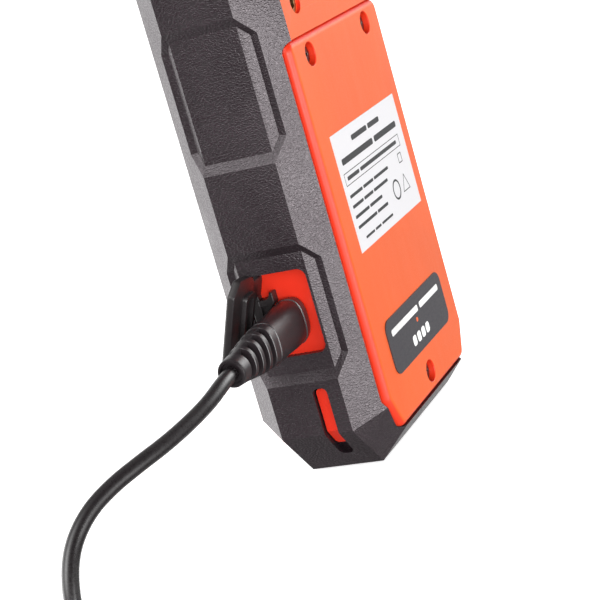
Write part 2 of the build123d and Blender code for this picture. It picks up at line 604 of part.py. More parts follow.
def make_usb_plug():
    """Large plug at the lead's far end: moulded grip with its own relief, lying on the coil."""
    x, y, z = TAIL_ROUTE[-1]
    width, length, thick = USB_GRIP
    start = y - USB_RELIEF
    grip = rounded_block((x - width / 2, x + width / 2), (start - length, start),
                         (z - thick / 2, z + thick / 2), Axis.Y, 2.6)
    grip = fillet(grip.faces().sort_by(Axis.Y)[0].edges(), 0.8)
    relief = loft([Plane(origin=(x, y, z), z_dir=(0, -1, 0)) * Circle(2.5),
                   Plane(origin=(x, start - 0.2, z), z_dir=(0, -1, 0)) * Circle(3.3)])
    return grip + relief


def make_usb_shell():
    """Metal sleeve of the large plug, with its two windows and the contact tongue inside."""
    x, y, z = TAIL_ROUTE[-1]
    start = y - USB_RELIEF - USB_GRIP[1]
    end = start - USB_SLEEVE
    sleeve = block((x - 6.0, x + 6.0), (end, start), (z - 2.25, z + 2.25))
    sleeve -= block((x - 5.7, x + 5.7), (end - 1, start - 0.4), (z - 1.95, z + 1.95))
    for side in (-1, 1):
        sleeve -= block((x + side * 2.9 - 1.15, x + side * 2.9 + 1.15), (end + 4.6, end + 6.9),
                        (z, z + 4))
    return sleeve


def make_usb_tongue():
    """Plastic tongue inside the large plug's sleeve."""
    x, y, z = TAIL_ROUTE[-1]
    start = y - USB_RELIEF - USB_GRIP[1]
    return block((x - 5.65, x + 5.65), (start - USB_SLEEVE + 0.8, start - 0.4), (z - 1.9, z))


# ---- write every node ---------------------------------------------------------------
def main():
    bumper_rear, bumper_front = make_bumpers()
    save("bumper_rear", bumper_rear)
    save("bumper_front", bumper_front)
    save("rear_case", make_rear_case())
    save("front_case", make_front_case())
    save("case_seal", seal_band())
    save("case_screws", *[screw(x, z, BAY_FLOOR_Y + 1.3, 1.9, 1.2, 1.0, 12.0)
                          for x, z in CASE_SCREWS])

    save("battery_cover", make_battery_cover())
    save("battery_cover_seal", make_cover_seal())
    save("battery_cover_screws", *[screw(x, z, 13.6, 2.15, 1.2, 1.2, 6.0)
                                   for x, z in COVER_SCREWS])
    width, depth, height = BATTERY
    save("battery_pack", rounded_block((-width / 2, width / 2), (4.9, 4.9 + depth),
                                       (20.0, 20.0 + height), Axis.Z, 2.5))
    save("battery_contacts", *make_contacts())
    save("belt_clip_inserts", *make_clip_inserts())
    save("rating_label", block((-19.8, 18.1), (COVER_Y, COVER_Y + 0.1), (42.7, 67.0)))
    save("model_badge", rounded_block((-17.7, 17.7), (COVER_Y, COVER_Y + 0.25), (15.8, 27.4),
                                      Axis.Y, 2.4))

    save("speaker_grille", make_grille())
    save("speaker_mesh", rod((0, 1, 0), (0, -12.9, SPEAKER_Z), 0.25, 15.4))
    save("speaker", make_speaker())
    save("microphone", rod((0, 1, 0), (0, -10.2, MIC_Z), 2.4, 3.0))
    save("status_lens", rod((0, 1, 0), (LENS_X, CASE_FRONT_Y - 0.3, LENS_Z), 5.0, 1.6))
    save("main_board", make_board())
    save("radio_shield", rounded_block((-16.5, 16.5), (0, 2.4), (22, 72), Axis.Y, 0.6))
    save("charge_socket", make_charge_socket())
    save("side_switches", *[make_switch(name) for name in KEYS])
    save("plunger_seals", *[make_plunger_seal(name) for name in KEYS])

    save("antenna", make_antenna())
    save("antenna_collar", make_antenna_collar())
    save("antenna_rod", rod((0, 0, 1), (ANTENNA_X, TOP_Y, 106), ANTENNA_TIP - 8.5 - 106, 1.15))
    save("channel_selector", make_control(CHANNEL_X, (5.4, 5.4, 6.0)))
    save("volume_control", make_control(VOLUME_X, (4.8, 4.8, 7.0)))
    save("control_nuts", make_nut(CHANNEL_X), make_nut(VOLUME_X))
    save("control_seals", make_washer_seal(CHANNEL_X), make_washer_seal(VOLUME_X))
    save("channel_shaft", make_shaft(CHANNEL_X))
    save("channel_knob", make_knob(CHANNEL_X, 16))
    save("volume_shaft", make_shaft(VOLUME_X))
    save("volume_knob", make_knob(VOLUME_X, 16))
    for name in KEYS:
        save(name, make_key(name))

    save("port_cover", make_port_flap())
    save("port_cover_strap", make_port_strap())
    save("charge_plug_shell", make_plug_shell())
    save("charge_plug", make_plug())
    save("strain_relief", make_relief())
    save("cable_lead", tube_along(CABLE_ROUTE + [COIL_ENTRY]))
    save("cable_coil", make_coil())
    save("cable_tie", make_tie())
    save("cable_tail", tube_along(TAIL_ROUTE))
    save("usb_plug", make_usb_plug())
    save("usb_plug_shell", make_usb_shell())
    save("usb_plug_tongue", make_usb_tongue())


main()
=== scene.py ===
import json
import math
import random

import bmesh
import bpy
from mathutils import Matrix, Vector


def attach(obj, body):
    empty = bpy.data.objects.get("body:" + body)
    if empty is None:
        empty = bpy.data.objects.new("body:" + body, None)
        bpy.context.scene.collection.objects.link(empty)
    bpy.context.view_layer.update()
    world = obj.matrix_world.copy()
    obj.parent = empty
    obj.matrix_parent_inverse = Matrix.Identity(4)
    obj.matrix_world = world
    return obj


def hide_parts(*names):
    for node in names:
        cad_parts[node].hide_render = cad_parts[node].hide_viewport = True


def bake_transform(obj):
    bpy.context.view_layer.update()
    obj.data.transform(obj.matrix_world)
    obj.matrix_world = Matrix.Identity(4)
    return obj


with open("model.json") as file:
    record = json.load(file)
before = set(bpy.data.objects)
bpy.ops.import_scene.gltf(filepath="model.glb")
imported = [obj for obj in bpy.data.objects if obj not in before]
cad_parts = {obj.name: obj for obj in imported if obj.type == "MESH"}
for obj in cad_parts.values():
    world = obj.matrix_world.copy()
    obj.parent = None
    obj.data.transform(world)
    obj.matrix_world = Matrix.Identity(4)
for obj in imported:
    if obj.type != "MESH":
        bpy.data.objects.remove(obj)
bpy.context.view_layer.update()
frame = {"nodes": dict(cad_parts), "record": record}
nodes = frame["nodes"]
slot_of = {item["node"]: item["material_slot"] for item in frame["record"]["subparts"]}
body_of = {node: body for body, members in frame["record"]["behaviour"]["bodies"].items()
           for node in members}

MM = 0.001                     # places below are given in millimetres of the row frame


def mm(*point):
    """A point in millimetres as a point in metres."""
    return Vector(point) * MM


# ---- camera --------------------------------------------------------------------------
CAMERA_AT = mm(342.4, 158.7, 122.6)
PICTURE_RIGHT = Vector((-0.36589, 0.88987, -0.27249))
PICTURE_DOWN = Vector((0.32582, -0.15177, -0.93317))
PICTURE_IN = Vector((-0.87176, -0.43022, -0.23441))
LENS_MM = 109.34               # on a 36 mm wide sensor


def make_camera():
    """Camera over the port side and the back, tilted so that the radio's top leans left."""
    data = bpy.data.cameras.new("camera")
    data.lens, data.sensor_width = LENS_MM, 36
    data.clip_start, data.clip_end = 0.01, 20
    camera = bpy.data.objects.new("camera", data)
    axes = Matrix((PICTURE_RIGHT, -PICTURE_DOWN, -PICTURE_IN)).transposed()
    camera.matrix_world = Matrix.Translation(CAMERA_AT) @ axes.to_4x4()
    bpy.context.scene.collection.objects.link(camera)
    bpy.context.scene.camera = camera


# ---- materials -----------------------------------------------------------------------
class Look:
    """A material under construction, with short ways to add and join its nodes."""

    def __init__(self, name, colour, roughness, metallic=0.0):
        self.material = bpy.data.materials.new(name)
        self.material.use_nodes = True
        self.tree = self.material.node_tree
        self.shader = self.tree.nodes["Principled BSDF"]
        self.set("Base Color", (*colour, 1))
        self.set("Roughness", roughness)
        self.set("Metallic", metallic)
        place = self.tree.nodes.new("ShaderNodeTexCoord")
        self.place, self.facing = place.outputs["Object"], place.outputs["Normal"]

    def set(self, socket, value):
        """Set or link one of the shader's sockets."""
        self.join(self.shader, {socket: value})

    def join(self, node, inputs):
        """Give a node's sockets constants or links."""
        for key, value in inputs.items():
            if isinstance(value, bpy.types.NodeSocket):
                self.tree.links.new(value, node.inputs[key])
            else:
                node.inputs[key].default_value = value

    def add(self, kind, inputs, **settings):
        """Add a node of a kind."""
        node = self.tree.nodes.new("ShaderNode" + kind)
        for key, value in settings.items():
            setattr(node, key, value)
        self.join(node, inputs)
        return node

    def stretched(self, x, y, z):
        """The object's coordinates, scaled on each axis."""
        return self.add("Mapping", {"Vector": self.place, "Scale": (x, y, z)}).outputs["Vector"]

    def noise(self, size_mm, detail=3, roughness=0.55, place=None):
        """Cloudy noise whose features have about this size."""
        inputs = {"Vector": place or self.place, "Scale": 1 / (size_mm * MM), "Detail": detail,
                  "Roughness": roughness}
        return self.add("TexNoise", inputs).outputs["Fac"]

    def pebbles(self, size_mm, place=None):
        """Rounded cells with narrow valleys between them, from 0 in a valley to about 1."""
        wander = self.add("TexNoise", {"Vector": place or self.place, "Detail": 2,
                                       "Scale": 0.6 / (size_mm * MM)}).outputs["Color"]
        bent = self.add("VectorMath", {0: wander, "Scale": 0.5 * size_mm * MM},
                        operation="SCALE").outputs[0]
        moved = self.add("VectorMath", {0: place or self.place, 1: bent}).outputs[0]
        cells = self.add("TexVoronoi", {"Vector": moved, "Scale": 1 / (size_mm * MM),
                                        "Smoothness": 0.7}, feature="SMOOTH_F1")
        return self.between(cells.outputs["Distance"], 0.75, 0.1, 0.0, 1.0)

    def between(self, value, low, high, to_low, to_high):
        """Map a value smoothly from one range to another."""
        node = self.add("MapRange", {"Value": value, "From Min": low, "From Max": high,
                                     "To Min": to_low, "To Max": to_high},
                        interpolation_type="SMOOTHSTEP")
        return node.outputs["Result"]

    def sums(self, operation, first, second):
        """Arithmetic on two values."""
        return self.add("Math", {0: first, 1: second}, operation=operation).outputs[0]

    def mixed(self, factor, colour_a, colour_b):
        """Mix two colours."""
        node = self.add("Mix", {"Factor": factor}, data_type="RGBA")
        for socket, colour in ((node.inputs[6], colour_a), (node.inputs[7], colour_b)):
            if isinstance(colour, bpy.types.NodeSocket):
                self.tree.links.new(colour, socket)
            else:
                socket.default_value = (*colour, 1)
        return node.outputs[2]

    def bump(self, height, depth_mm, strength=1.0):
        """Raise the surface by a height from 0 to 1; several bumps stack."""
        inputs = {"Height": height, "Distance": depth_mm * MM, "Strength": strength}
        held = self.shader.inputs["Normal"]
        if held.is_linked:
            inputs["Normal"] = held.links[0].from_socket
        self.set("Normal", self.add("Bump", inputs).outputs["Normal"])


def tinted(colour, factor):
    """A lighter or darker version of a colour."""
    return tuple(min(1.0, channel * factor) for channel in colour)


def grained(name, colour, size_mm, depth_mm, roughness=(0.40, 0.58), peak_highlight_share=0.25, shine=0.5):
    """Moulded black plastic or rubber with a pebbled grain, darker in its valleys as painted
    shade and lighter in patches on its peaks as a painted highlight.
    """
    look = Look(name, colour, roughness[0])
    look.set("Specular IOR Level", shine)
    look.set("Specular Tint", (1.0, 0.93, 0.965, 1))
    flat = look.stretched(1.0, 0.8, 1.35)
    cells = look.pebbles(size_mm, flat)
    fine = look.noise(size_mm * 0.35, 2, 0.6, flat)
    cloud = look.noise(14.0, 3)
    # painted highlight: patches of the grain's peaks lightened in colour
    peak_highlight = look.between(look.sums("MULTIPLY", cells, cloud), 0.30, 0.62, 0.0, peak_highlight_share)
    # painted shade in the grain's valleys and painted light on its peaks
    base = look.mixed(cells, tinted(colour, 0.62), tinted(colour, 1.2))
    look.set("Base Color", look.mixed(peak_highlight, base, tinted(colour, 2.6)))
    rough = look.between(cells, 0.0, 1.0, roughness[1], roughness[0])
    look.set("Roughness", look.sums("ADD", rough, look.between(cloud, 0.3, 0.7, -0.03, 0.03)))
    look.bump(cells, depth_mm, 0.9)
    look.bump(fine, depth_mm * 0.35, 0.7)
    return look.material


def smooth_moulding(name, colour, roughness, size_mm=0.25, depth_mm=0.006, shine=0.5):
    """Glossy or satin moulding with faint flow marks and a very fine texture."""
    look = Look(name, colour, roughness)
    look.set("Specular IOR Level", shine)
    cloud = look.noise(9.0, 3, 0.6, look.stretched(1.0, 1.0, 0.45))
    look.set("Base Color", look.mixed(look.between(cloud, 0.35, 0.68, 0.0, 1.0),
                                      tinted(colour, 0.88), tinted(colour, 1.12)))
    fine = look.noise(size_mm, 2)
    look.set("Roughness", look.between(look.sums("ADD", fine, look.sums("MULTIPLY", cloud, 0.7)),
                                       0.55, 1.15, roughness * 0.86, roughness * 1.16))
    look.bump(fine, depth_mm, 0.8)
    return look.material


def orange(name, face, edge, roughness):
    """Satin orange moulding; faces that don't look along ±Y, its rounded rims and recess walls,
    take the redder edge colour as painted shade.
    """
    look = Look(name, face, roughness)
    outward = look.add("SeparateXYZ", {"Vector": look.facing}).outputs["Y"]
    flat = look.add("Math", {0: outward}, operation="ABSOLUTE").outputs[0]
    # painted shade mask: 1 on faces that look along ±Y, 0 on rims and recess walls turned away
    # from it
    level = look.between(flat, 0.80, 0.985, 0.0, 1.0)
    cloud = look.noise(26.0, 3)
    tint = look.mixed(look.between(cloud, 0.35, 0.7, 0.0, 1.0),
                      tinted(face, 0.96), tinted(face, 1.05))
    # painted shade: the redder edge colour on rims and recesses, the face colour on flat faces
    look.set("Base Color", look.mixed(level, edge, tint))
    fine = look.noise(0.22, 3, 0.6)
    streaks = look.noise(3.2, 2, 0.5, look.stretched(1.0, 1.0, 0.22))
    uneven = look.sums("ADD", fine, look.sums("MULTIPLY", streaks, 0.5))
    look.set("Roughness", look.between(uneven, 0.45, 1.0, roughness - 0.05, roughness + 0.07))
    look.bump(fine, 0.008, 0.9)
    return look.material


def metal(name, colour, roughness, size_mm=0.5, stretch=(1.0, 1.0, 12.0)):
    """Bare or plated metal with fine drawn lines and small stains."""
    look = Look(name, colour, roughness, 1.0)
    lines = look.noise(size_mm, 3, 0.6, look.stretched(*stretch))
    stain = look.noise(2.6, 4, 0.6)
    look.set("Base Color", look.mixed(look.between(stain, 0.42, 0.72, 0.0, 1.0), colour,
                                      tinted(colour, 0.74)))
    look.set("Roughness", look.between(lines, 0.3, 0.7, roughness * 0.8, roughness * 1.3))
    look.bump(lines, 0.006, 0.6)
    return look.material


def film(name, colour, roughness, coat):
    """Printed film: paper or polyester, faintly fibrous, under a thin clear coat."""
    look = Look(name, colour, roughness)
    fibre = look.noise(0.4, 4, 0.65, look.stretched(0.4, 1.0, 1.0))
    look.set("Base Color", look.mixed(fibre, tinted(colour, 0.95), tinted(colour, 1.03)))
    look.set("Roughness", look.between(fibre, 0.3, 0.7, roughness - 0.04, roughness + 0.05))
    look.set("Coat Weight", coat)
    look.set("Coat Roughness", 0.18)
    look.bump(fibre, 0.004, 0.5)
    return look.material


def woven(name, colour, pitch_mm):
    """Fine woven mesh of round threads."""
    look = Look(name, colour, 0.6)
    waves = []
    for axis in ("X", "Z"):
        wave = look.add("TexWave", {"Vector": look.place, "Scale": 0.5 / (pitch_mm * MM) / 3.14,
                                    "Distortion": 0.0}, bands_direction=axis)
        waves.append(wave.outputs["Fac"])
    weave = look.sums("MULTIPLY", *waves)
    look.set("Base Color", look.mixed(weave, tinted(colour, 0.35), tinted(colour, 1.5)))
    look.bump(weave, 0.05, 0.9)
    return look.material


def circuit_board(name, colour):
    """Solder-masked board with copper traces showing through as lighter lines."""
    look = Look(name, colour, 0.35)
    grid = look.add("TexBrick", {"Vector": look.place, "Scale": 160.0, "Mortar Size": 0.12,
                                 "Mortar Smooth": 0.3}).outputs["Fac"]
    specks = look.between(look.noise(2.2, 2), 0.50, 0.56, 0.0, 1.0)
    traces = look.sums("MULTIPLY", grid, specks)
    look.set("Base Color", look.mixed(traces, colour, tinted(colour, 2.1)))
    look.set("Roughness", look.between(specks, 0.0, 1.0, 0.30, 0.42))
    look.bump(traces, 0.03, 0.8)
    return look.material


def clear_lens(name, colour):
    """Tinted light pipe."""
    look = Look(name, colour, 0.12)
    swirl = look.noise(1.2, 3)
    look.set("Base Color", look.mixed(swirl, tinted(colour, 0.8), tinted(colour, 1.15)))
    look.set("Transmission Weight", 0.6)
    look.set("IOR", 1.49)
    look.bump(swirl, 0.01, 0.3)
    return look.material


ORANGE_FACE = (0.80, 0.115, 0.018)
# the two redder oranges below are painted shade, one for rims and one for recesses
ORANGE_SHADED_EDGE = (0.82, 0.036, 0.008)
ORANGE_SHADED_RECESS = (0.80, 0.028, 0.009)
BLACK = (0.022, 0.020, 0.021)
looks = {
    "bumper_rubber": grained("bumper_rubber", (0.015, 0.0070, 0.0105), 0.40, 0.060, (0.30, 0.46),
                             0.5, 1.0),
    "orange_cover": orange("orange_cover", ORANGE_FACE, ORANGE_SHADED_EDGE, 0.40),
    "orange_case": orange("orange_case", ORANGE_FACE, ORANGE_SHADED_RECESS, 0.38),
    "black_plastic": grained("black_plastic", BLACK, 0.40, 0.020),
    "grille_plastic": grained("grille_plastic", BLACK, 0.45, 0.025, peak_highlight_share=0.15),
    "key_rubber": grained("key_rubber", (0.026, 0.025, 0.026), 0.30, 0.012, (0.50, 0.66), 0.15),
    "cover_rubber": smooth_moulding("cover_rubber", (0.014, 0.010, 0.011), 0.42, 0.3, 0.010, 0.7),
    "seal_rubber": smooth_moulding("seal_rubber", (0.05, 0.05, 0.052), 0.62, 0.4, 0.012),
    "antenna_rubber": smooth_moulding("antenna_rubber", (0.020, 0.019, 0.020), 0.50, 0.35, 0.012),
    "knob_plastic": grained("knob_plastic", BLACK, 0.35, 0.014, (0.36, 0.50), 0.3),
    "tie_plastic": woven("tie_plastic", (0.03, 0.03, 0.032), 0.35),
    "plug_moulding": smooth_moulding("plug_moulding", (0.015, 0.010, 0.012), 0.34, 0.3, 0.010,
                                     1.0),
    "cable_jacket": smooth_moulding("cable_jacket", (0.012, 0.009, 0.010), 0.28, 0.5, 0.010, 1.0),
    "tongue_plastic": smooth_moulding("tongue_plastic", (0.80, 0.80, 0.78), 0.45),
    "speaker_parts": smooth_moulding("speaker_parts", (0.10, 0.10, 0.11), 0.45, 0.6, 0.02),
    "battery_wrap": smooth_moulding("battery_wrap", (0.06, 0.16, 0.42), 0.35, 0.8, 0.02),
    "screw_steel": metal("screw_steel", (0.16, 0.15, 0.15), 0.34, 0.25, (1.0, 1.0, 1.0)),
    "insert_brass": metal("insert_brass", (0.40, 0.26, 0.12), 0.40, 0.25, (1.0, 6.0, 1.0)),
    "plug_shell": metal("plug_shell", (0.72, 0.72, 0.73), 0.24, 0.3, (1.0, 10.0, 10.0)),
    "shield_metal": metal("shield_metal", (0.66, 0.66, 0.65), 0.35, 0.6),
    "contact_gold": metal("contact_gold", (0.95, 0.72, 0.32), 0.22, 0.3),
    "label_paper": film("label_paper", (0.72, 0.71, 0.73), 0.42, 0.20),
    "badge_film": film("badge_film", (0.040, 0.036, 0.044), 0.40, 0.15),
    "board": circuit_board("board", (0.02, 0.16, 0.07)),
    "mesh_fabric": woven("mesh_fabric", (0.045, 0.045, 0.047), 0.30),
    "lens": clear_lens("lens", (0.55, 0.75, 0.62)),
}
label_ink = smooth_moulding("label_ink", (0.025, 0.025, 0.028), 0.45, 0.2, 0.003)
white_ink = smooth_moulding("white_ink", (0.85, 0.85, 0.84), 0.40, 0.2, 0.003)
orange_ink = smooth_moulding("orange_ink", (0.85, 0.12, 0.02), 0.40, 0.2, 0.003)


# ---- mesh builders -------------------------------------------------------------------
def dress(piece, material):
    """Give a piece one material all over."""
    piece.data.materials.clear()
    piece.data.materials.append(material)


def add_piece(name, mesh, body, slot, *stands_for, material=None):
    """Put a mesh into the scene as a piece that rides on a body, if one is named."""
    piece = bpy.data.objects.new(name, mesh)
    bpy.context.scene.collection.objects.link(piece)
    dress(piece, material or looks[slot])
    if body:
        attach(piece, body)
    if stands_for:
        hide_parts(*stands_for)
    return piece


def finish_mesh(shape, name, sharp=32):
    """Turn a bmesh into a mesh, smooth but for edges sharper than an angle."""
    bmesh.ops.recalc_face_normals(shape, faces=shape.faces)
    mesh = bpy.data.meshes.new(name)
    shape.to_mesh(mesh)
    shape.free()
    mesh.shade_smooth()
    mesh.set_sharp_from_angle(angle=math.radians(sharp))
    return mesh


def band(shape, rows):
    """Faces between rows of vertices that all have the same count and close on themselves."""
    count = len(rows[0])
    for row, after in zip(rows, rows[1:]):
        for i in range(count):
            shape.faces.new((row[i], row[(i + 1) % count], after[(i + 1) % count], after[i]))


def lofted(name, loops, sharp=32):
    """Closed mesh through loops of points that all have the same count, in millimetres."""
    shape = bmesh.new()
    rows = [[shape.verts.new(mm(*point)) for point in loop] for loop in loops]
    band(shape, rows)
    shape.faces.new(rows[0])
    shape.faces.new(rows[-1])
    return finish_mesh(shape, name, sharp)


ROUNDED_ANGLE = 28             # degrees; edges sharper than this are rounded


def add_round(piece, width_mm):
    """Round the sharp edges of a piece."""
    bevel = piece.modifiers.new("round", "BEVEL")
    bevel.width, bevel.segments = width_mm * MM, 3
    bevel.limit_method, bevel.angle_limit = "ANGLE", math.radians(ROUNDED_ANGLE)
    bevel.use_clamp_overlap, bevel.harden_normals = True, True
    bevel.miter_outer = "MITER_ARC"


def soften(node, width_mm):
    """Stand a copy with rounded edges in for a CAD node."""
    shape = bmesh.new()
    shape.from_mesh(nodes[node].data)
    bmesh.ops.remove_doubles(shape, verts=shape.verts, dist=0.002 * MM)
    bmesh.ops.dissolve_limit(shape, angle_limit=math.radians(0.4), verts=shape.verts,
                             edges=shape.edges)
    name = node + "_moulded"
    piece = add_piece(name, finish_mesh(shape, name, ROUNDED_ANGLE), body_of[node], slot_of[node],
                      node)
    add_round(piece, width_mm)


def squircle(half_a, half_b, power, count):
    """Points round a shape between an ellipse (2) and a rectangle (large power)."""
    points = []
    for index in range(count):
        angle = 2 * math.pi * index / count
        cosine, sine = math.cos(angle), math.sin(angle)
        points.append((half_a * math.copysign(abs(cosine) ** (2 / power), cosine),
                       half_b * math.copysign(abs(sine) ** (2 / power), sine)))
    return points


def between_stations(stations, x):
    """Values at x on straight lines between stations that begin with their x."""
    for low, high in zip(stations, stations[1:]):
        if x <= high[0]:
            share = (x - low[0]) / (high[0] - low[0])
            return [a + (b - a) * share for a, b in zip(low[1:], high[1:])]
    return list(stations[-1][1:])


def spread(low, high, count):
    """Evenly spaced values, both ends included."""
    return [low + (high - low) * index / (count - 1) for index in range(count)]


# ---- plug and strain relief ----------------------------------------------------------
PORT_Y, PORT_Z = 1.4, 34.5
PLUG_PARTING, RELIEF_END = 43.5, 59.8
LIP_LINE = ((30.25, 30.45, -0.12), (30.45, 30.65, 0.14))   # from, to, how far it is sunk
RELIEF_SLOTS = [(46.7 + 3.0 * index, 1.7 + 0.08 * index) for index in range(4)]    # middle, width
SLOT_DEPTH, SLOT_LIP = 1.5, 0.10
SPINE_HALF = 0.8               # half the width of the spine that the slots leave
RELIEF_LIFT = math.radians(1.4)
AROUND = 112                   # points round the plug


def make_plug():
    """Moulded grip: rounded towards the case, with a fine lip line and a small waist."""
    stations = [(27.75, 8.7, 5.5, 2.5), (28.05, 9.0, 5.8, 2.6), (28.7, 9.2, 6.0, 2.7),
                (29.8, 9.35, 6.2, 2.7), (31.2, 9.4, 6.3, 2.7), (34.0, 9.35, 6.25, 2.7),
                (38.0, 9.1, 6.15, 2.6), (41.0, 8.95, 6.15, 2.6), (43.3, 8.9, 6.2, 2.6),
                (43.5, 8.5, 5.8, 2.6)]
    places = [27.75, 27.88, 28.05, 28.35, 28.7, 29.2, 29.6, 29.9, 30.2, 30.3, 30.4, 30.5, 30.6,
              30.7, *spread(31.0, 43.3, 22), 43.38, 43.5]
    loops = []
    for x in places:
        height, depth, power = between_stations(stations, x)
        sink = sum(depth_here for low, high, depth_here in LIP_LINE if low < x < high)
        loops.append([(x, PORT_Y + y, PORT_Z + z)
                      for y, z in squircle(depth / 2 - sink, height / 2 - sink, power, AROUND)])
    return add_piece("charge_plug_grip", lofted("charge_plug_grip", loops), "lead",
                     "plug_moulding", "charge_plug")


def make_relief():
    """Strain relief with four slots cut round each side, between a spine above and one below."""
    stations = [(43.5, 8.5, 5.8, 2.6), (43.68, 8.9, 6.2, 2.6), (47.0, 8.5, 6.2, 2.5),
                (50.0, 7.9, 6.1, 2.35), (53.0, 7.1, 5.9, 2.2), (56.0, 6.2, 5.75, 2.05),
                (59.5, 5.6, 5.6, 2.0), (RELIEF_END, 5.3, 5.3, 2.0)]
    places = [43.5, 43.56, 43.68, 44.1, 44.7, 45.4, 59.0, 59.5, 59.68, RELIEF_END]
    for middle, wide in RELIEF_SLOTS:
        for side in (-1, 1):
            edge = middle + side * wide / 2
            places += [edge, edge + side * 0.02, edge + side * 0.12, edge + side * 0.35]
        places.append(middle)
    loops = []
    for x in sorted(places):
        height, depth, power = between_stations(stations, x)
        past_slots = [abs(x - middle) - wide / 2 for middle, wide in RELIEF_SLOTS]
        sink = SLOT_DEPTH if min(past_slots) <= 0.001 else 0.0
        lip = SLOT_LIP if any(0.001 < past < 0.05 for past in past_slots) else 0.0
        rise = (x - PLUG_PARTING) * math.tan(RELIEF_LIFT)
        loop = []
        for y, z in squircle(depth / 2, height / 2, power, AROUND):
            reach = math.hypot(y, z)
            cut = lip + (sink if abs(y) > SPINE_HALF else 0.0)
            scale = 1 - cut / reach
            loop.append((x, PORT_Y + y * scale, PORT_Z + rise + z * scale))
        loops.append(loop)
    for x, radius in ((RELIEF_END, 2.25), (RELIEF_END - 0.9, 2.1), (RELIEF_END - 0.9, 1.6)):
        rise = (x - PLUG_PARTING) * math.tan(RELIEF_LIFT)
        loops.append([(x, PORT_Y + y, PORT_Z + rise + z)
                      for y, z in squircle(radius, radius, 2, AROUND)])
    return add_piece("ringed_relief", lofted("ringed_relief", loops), "lead", "plug_moulding",
                     "strain_relief")


# ---- cord ----------------------------------------------------------------------------
CABLE_D = 3.0
CABLE_ROUTE = [(59.8, 1.4, 34.9), (63.1, 1.6, 34.9), (69.6, 0.9, 33.3), (75.9, -0.8, 32.0),
               (82.1, -2.8, 31.0), (88.2, -5.3, 30.2), (94.2, -8.0, 29.1), (100.1, -10.4, 27.1),
               (105.3, -12.1, 23.1), (109.6, -11.8, 17.8), (112.0, -10.9, 11.6),
               (112.9, -8.3, 5.7), (114.0, -3.8, 2.0), (115.9, 1.6, 1.5)]
TAIL_ROUTE = [(120.7, 12.3, 4.5), (126.7, 19.6, 5.2), (135.2, 23.3, 6.9), (144.9, 22.7, 8.8),
              (150.15, 19.7, 9.7), (153.2, 14.7, 10.0), (153.2, 8.6, 10.0)]
COIL_CENTRE = (140.0, 0.0)
COIL_OUTER_R = 22.9
COIL_START, COIL_END = 164.2, 147.5    # degrees at which the cable joins and leaves the coil
COIL_TURNS = 8                 # whole turns besides, wound clockwise seen from above
POINTS_PER_TURN = 16
STEP_UP_FROM, STEP_UP_OVER = 0.485, 0.03       # share of the coil where it climbs a layer


def coil_points():
    """Turns that spiral in along the floor, step up, and spiral out again on top."""
    sweep = COIL_START - COIL_END + 360 * COIL_TURNS
    count = round(POINTS_PER_TURN * sweep / 360)
    points = []
    for index in range(count):
        share = index / count
        angle = math.radians(COIL_START - sweep * share)
        inward = 1 - abs(2 * share - 1)
        radius = COIL_OUTER_R - CABLE_D * inward * sweep / 720
        climb = min(1, max(0, (share - STEP_UP_FROM) / STEP_UP_OVER))
        z = CABLE_D / 2 + CABLE_D * climb * climb * (3 - 2 * climb)
        points.append((COIL_CENTRE[0] + radius * math.cos(angle),
                       COIL_CENTRE[1] + radius * math.sin(angle), z))
    return points


def make_cable():
    """The whole charging lead as one curve, from the strain relief to the large plug."""
    route = CABLE_ROUTE + coil_points() + TAIL_ROUTE
    data = bpy.data.curves.new("cable", "CURVE")
    data.dimensions, data.bevel_depth, data.bevel_resolution = "3D", CABLE_D / 2 * MM, 6
    data.resolution_u, data.use_fill_caps = 10, True
    spline = data.splines.new("NURBS")
    spline.points.add(len(route) - 1)
    for point, place in zip(spline.points, route):
        point.co = (*mm(*place), 1)
    spline.order_u, spline.use_endpoint_u = 3, True
    return add_piece("charging_cable", data, "lead", "cable_jacket", "cable_lead", "cable_coil",
                     "cable_tail")


USB_GRIP = (15.6, 16.0, 8.0)   # width, length and thickness of the large plug's grip
USB_RELIEF = 5.2               # length of its strain relief
USB_RINGS = (1.2, 2.3, 3.4)    # grooves round that
HOLLOW_AT, HOLLOW_HALF_LENGTH, HOLLOW_HALF_WIDTH, HOLLOW_DEPTH = 9.8, 5.5, 5.0, 0.35


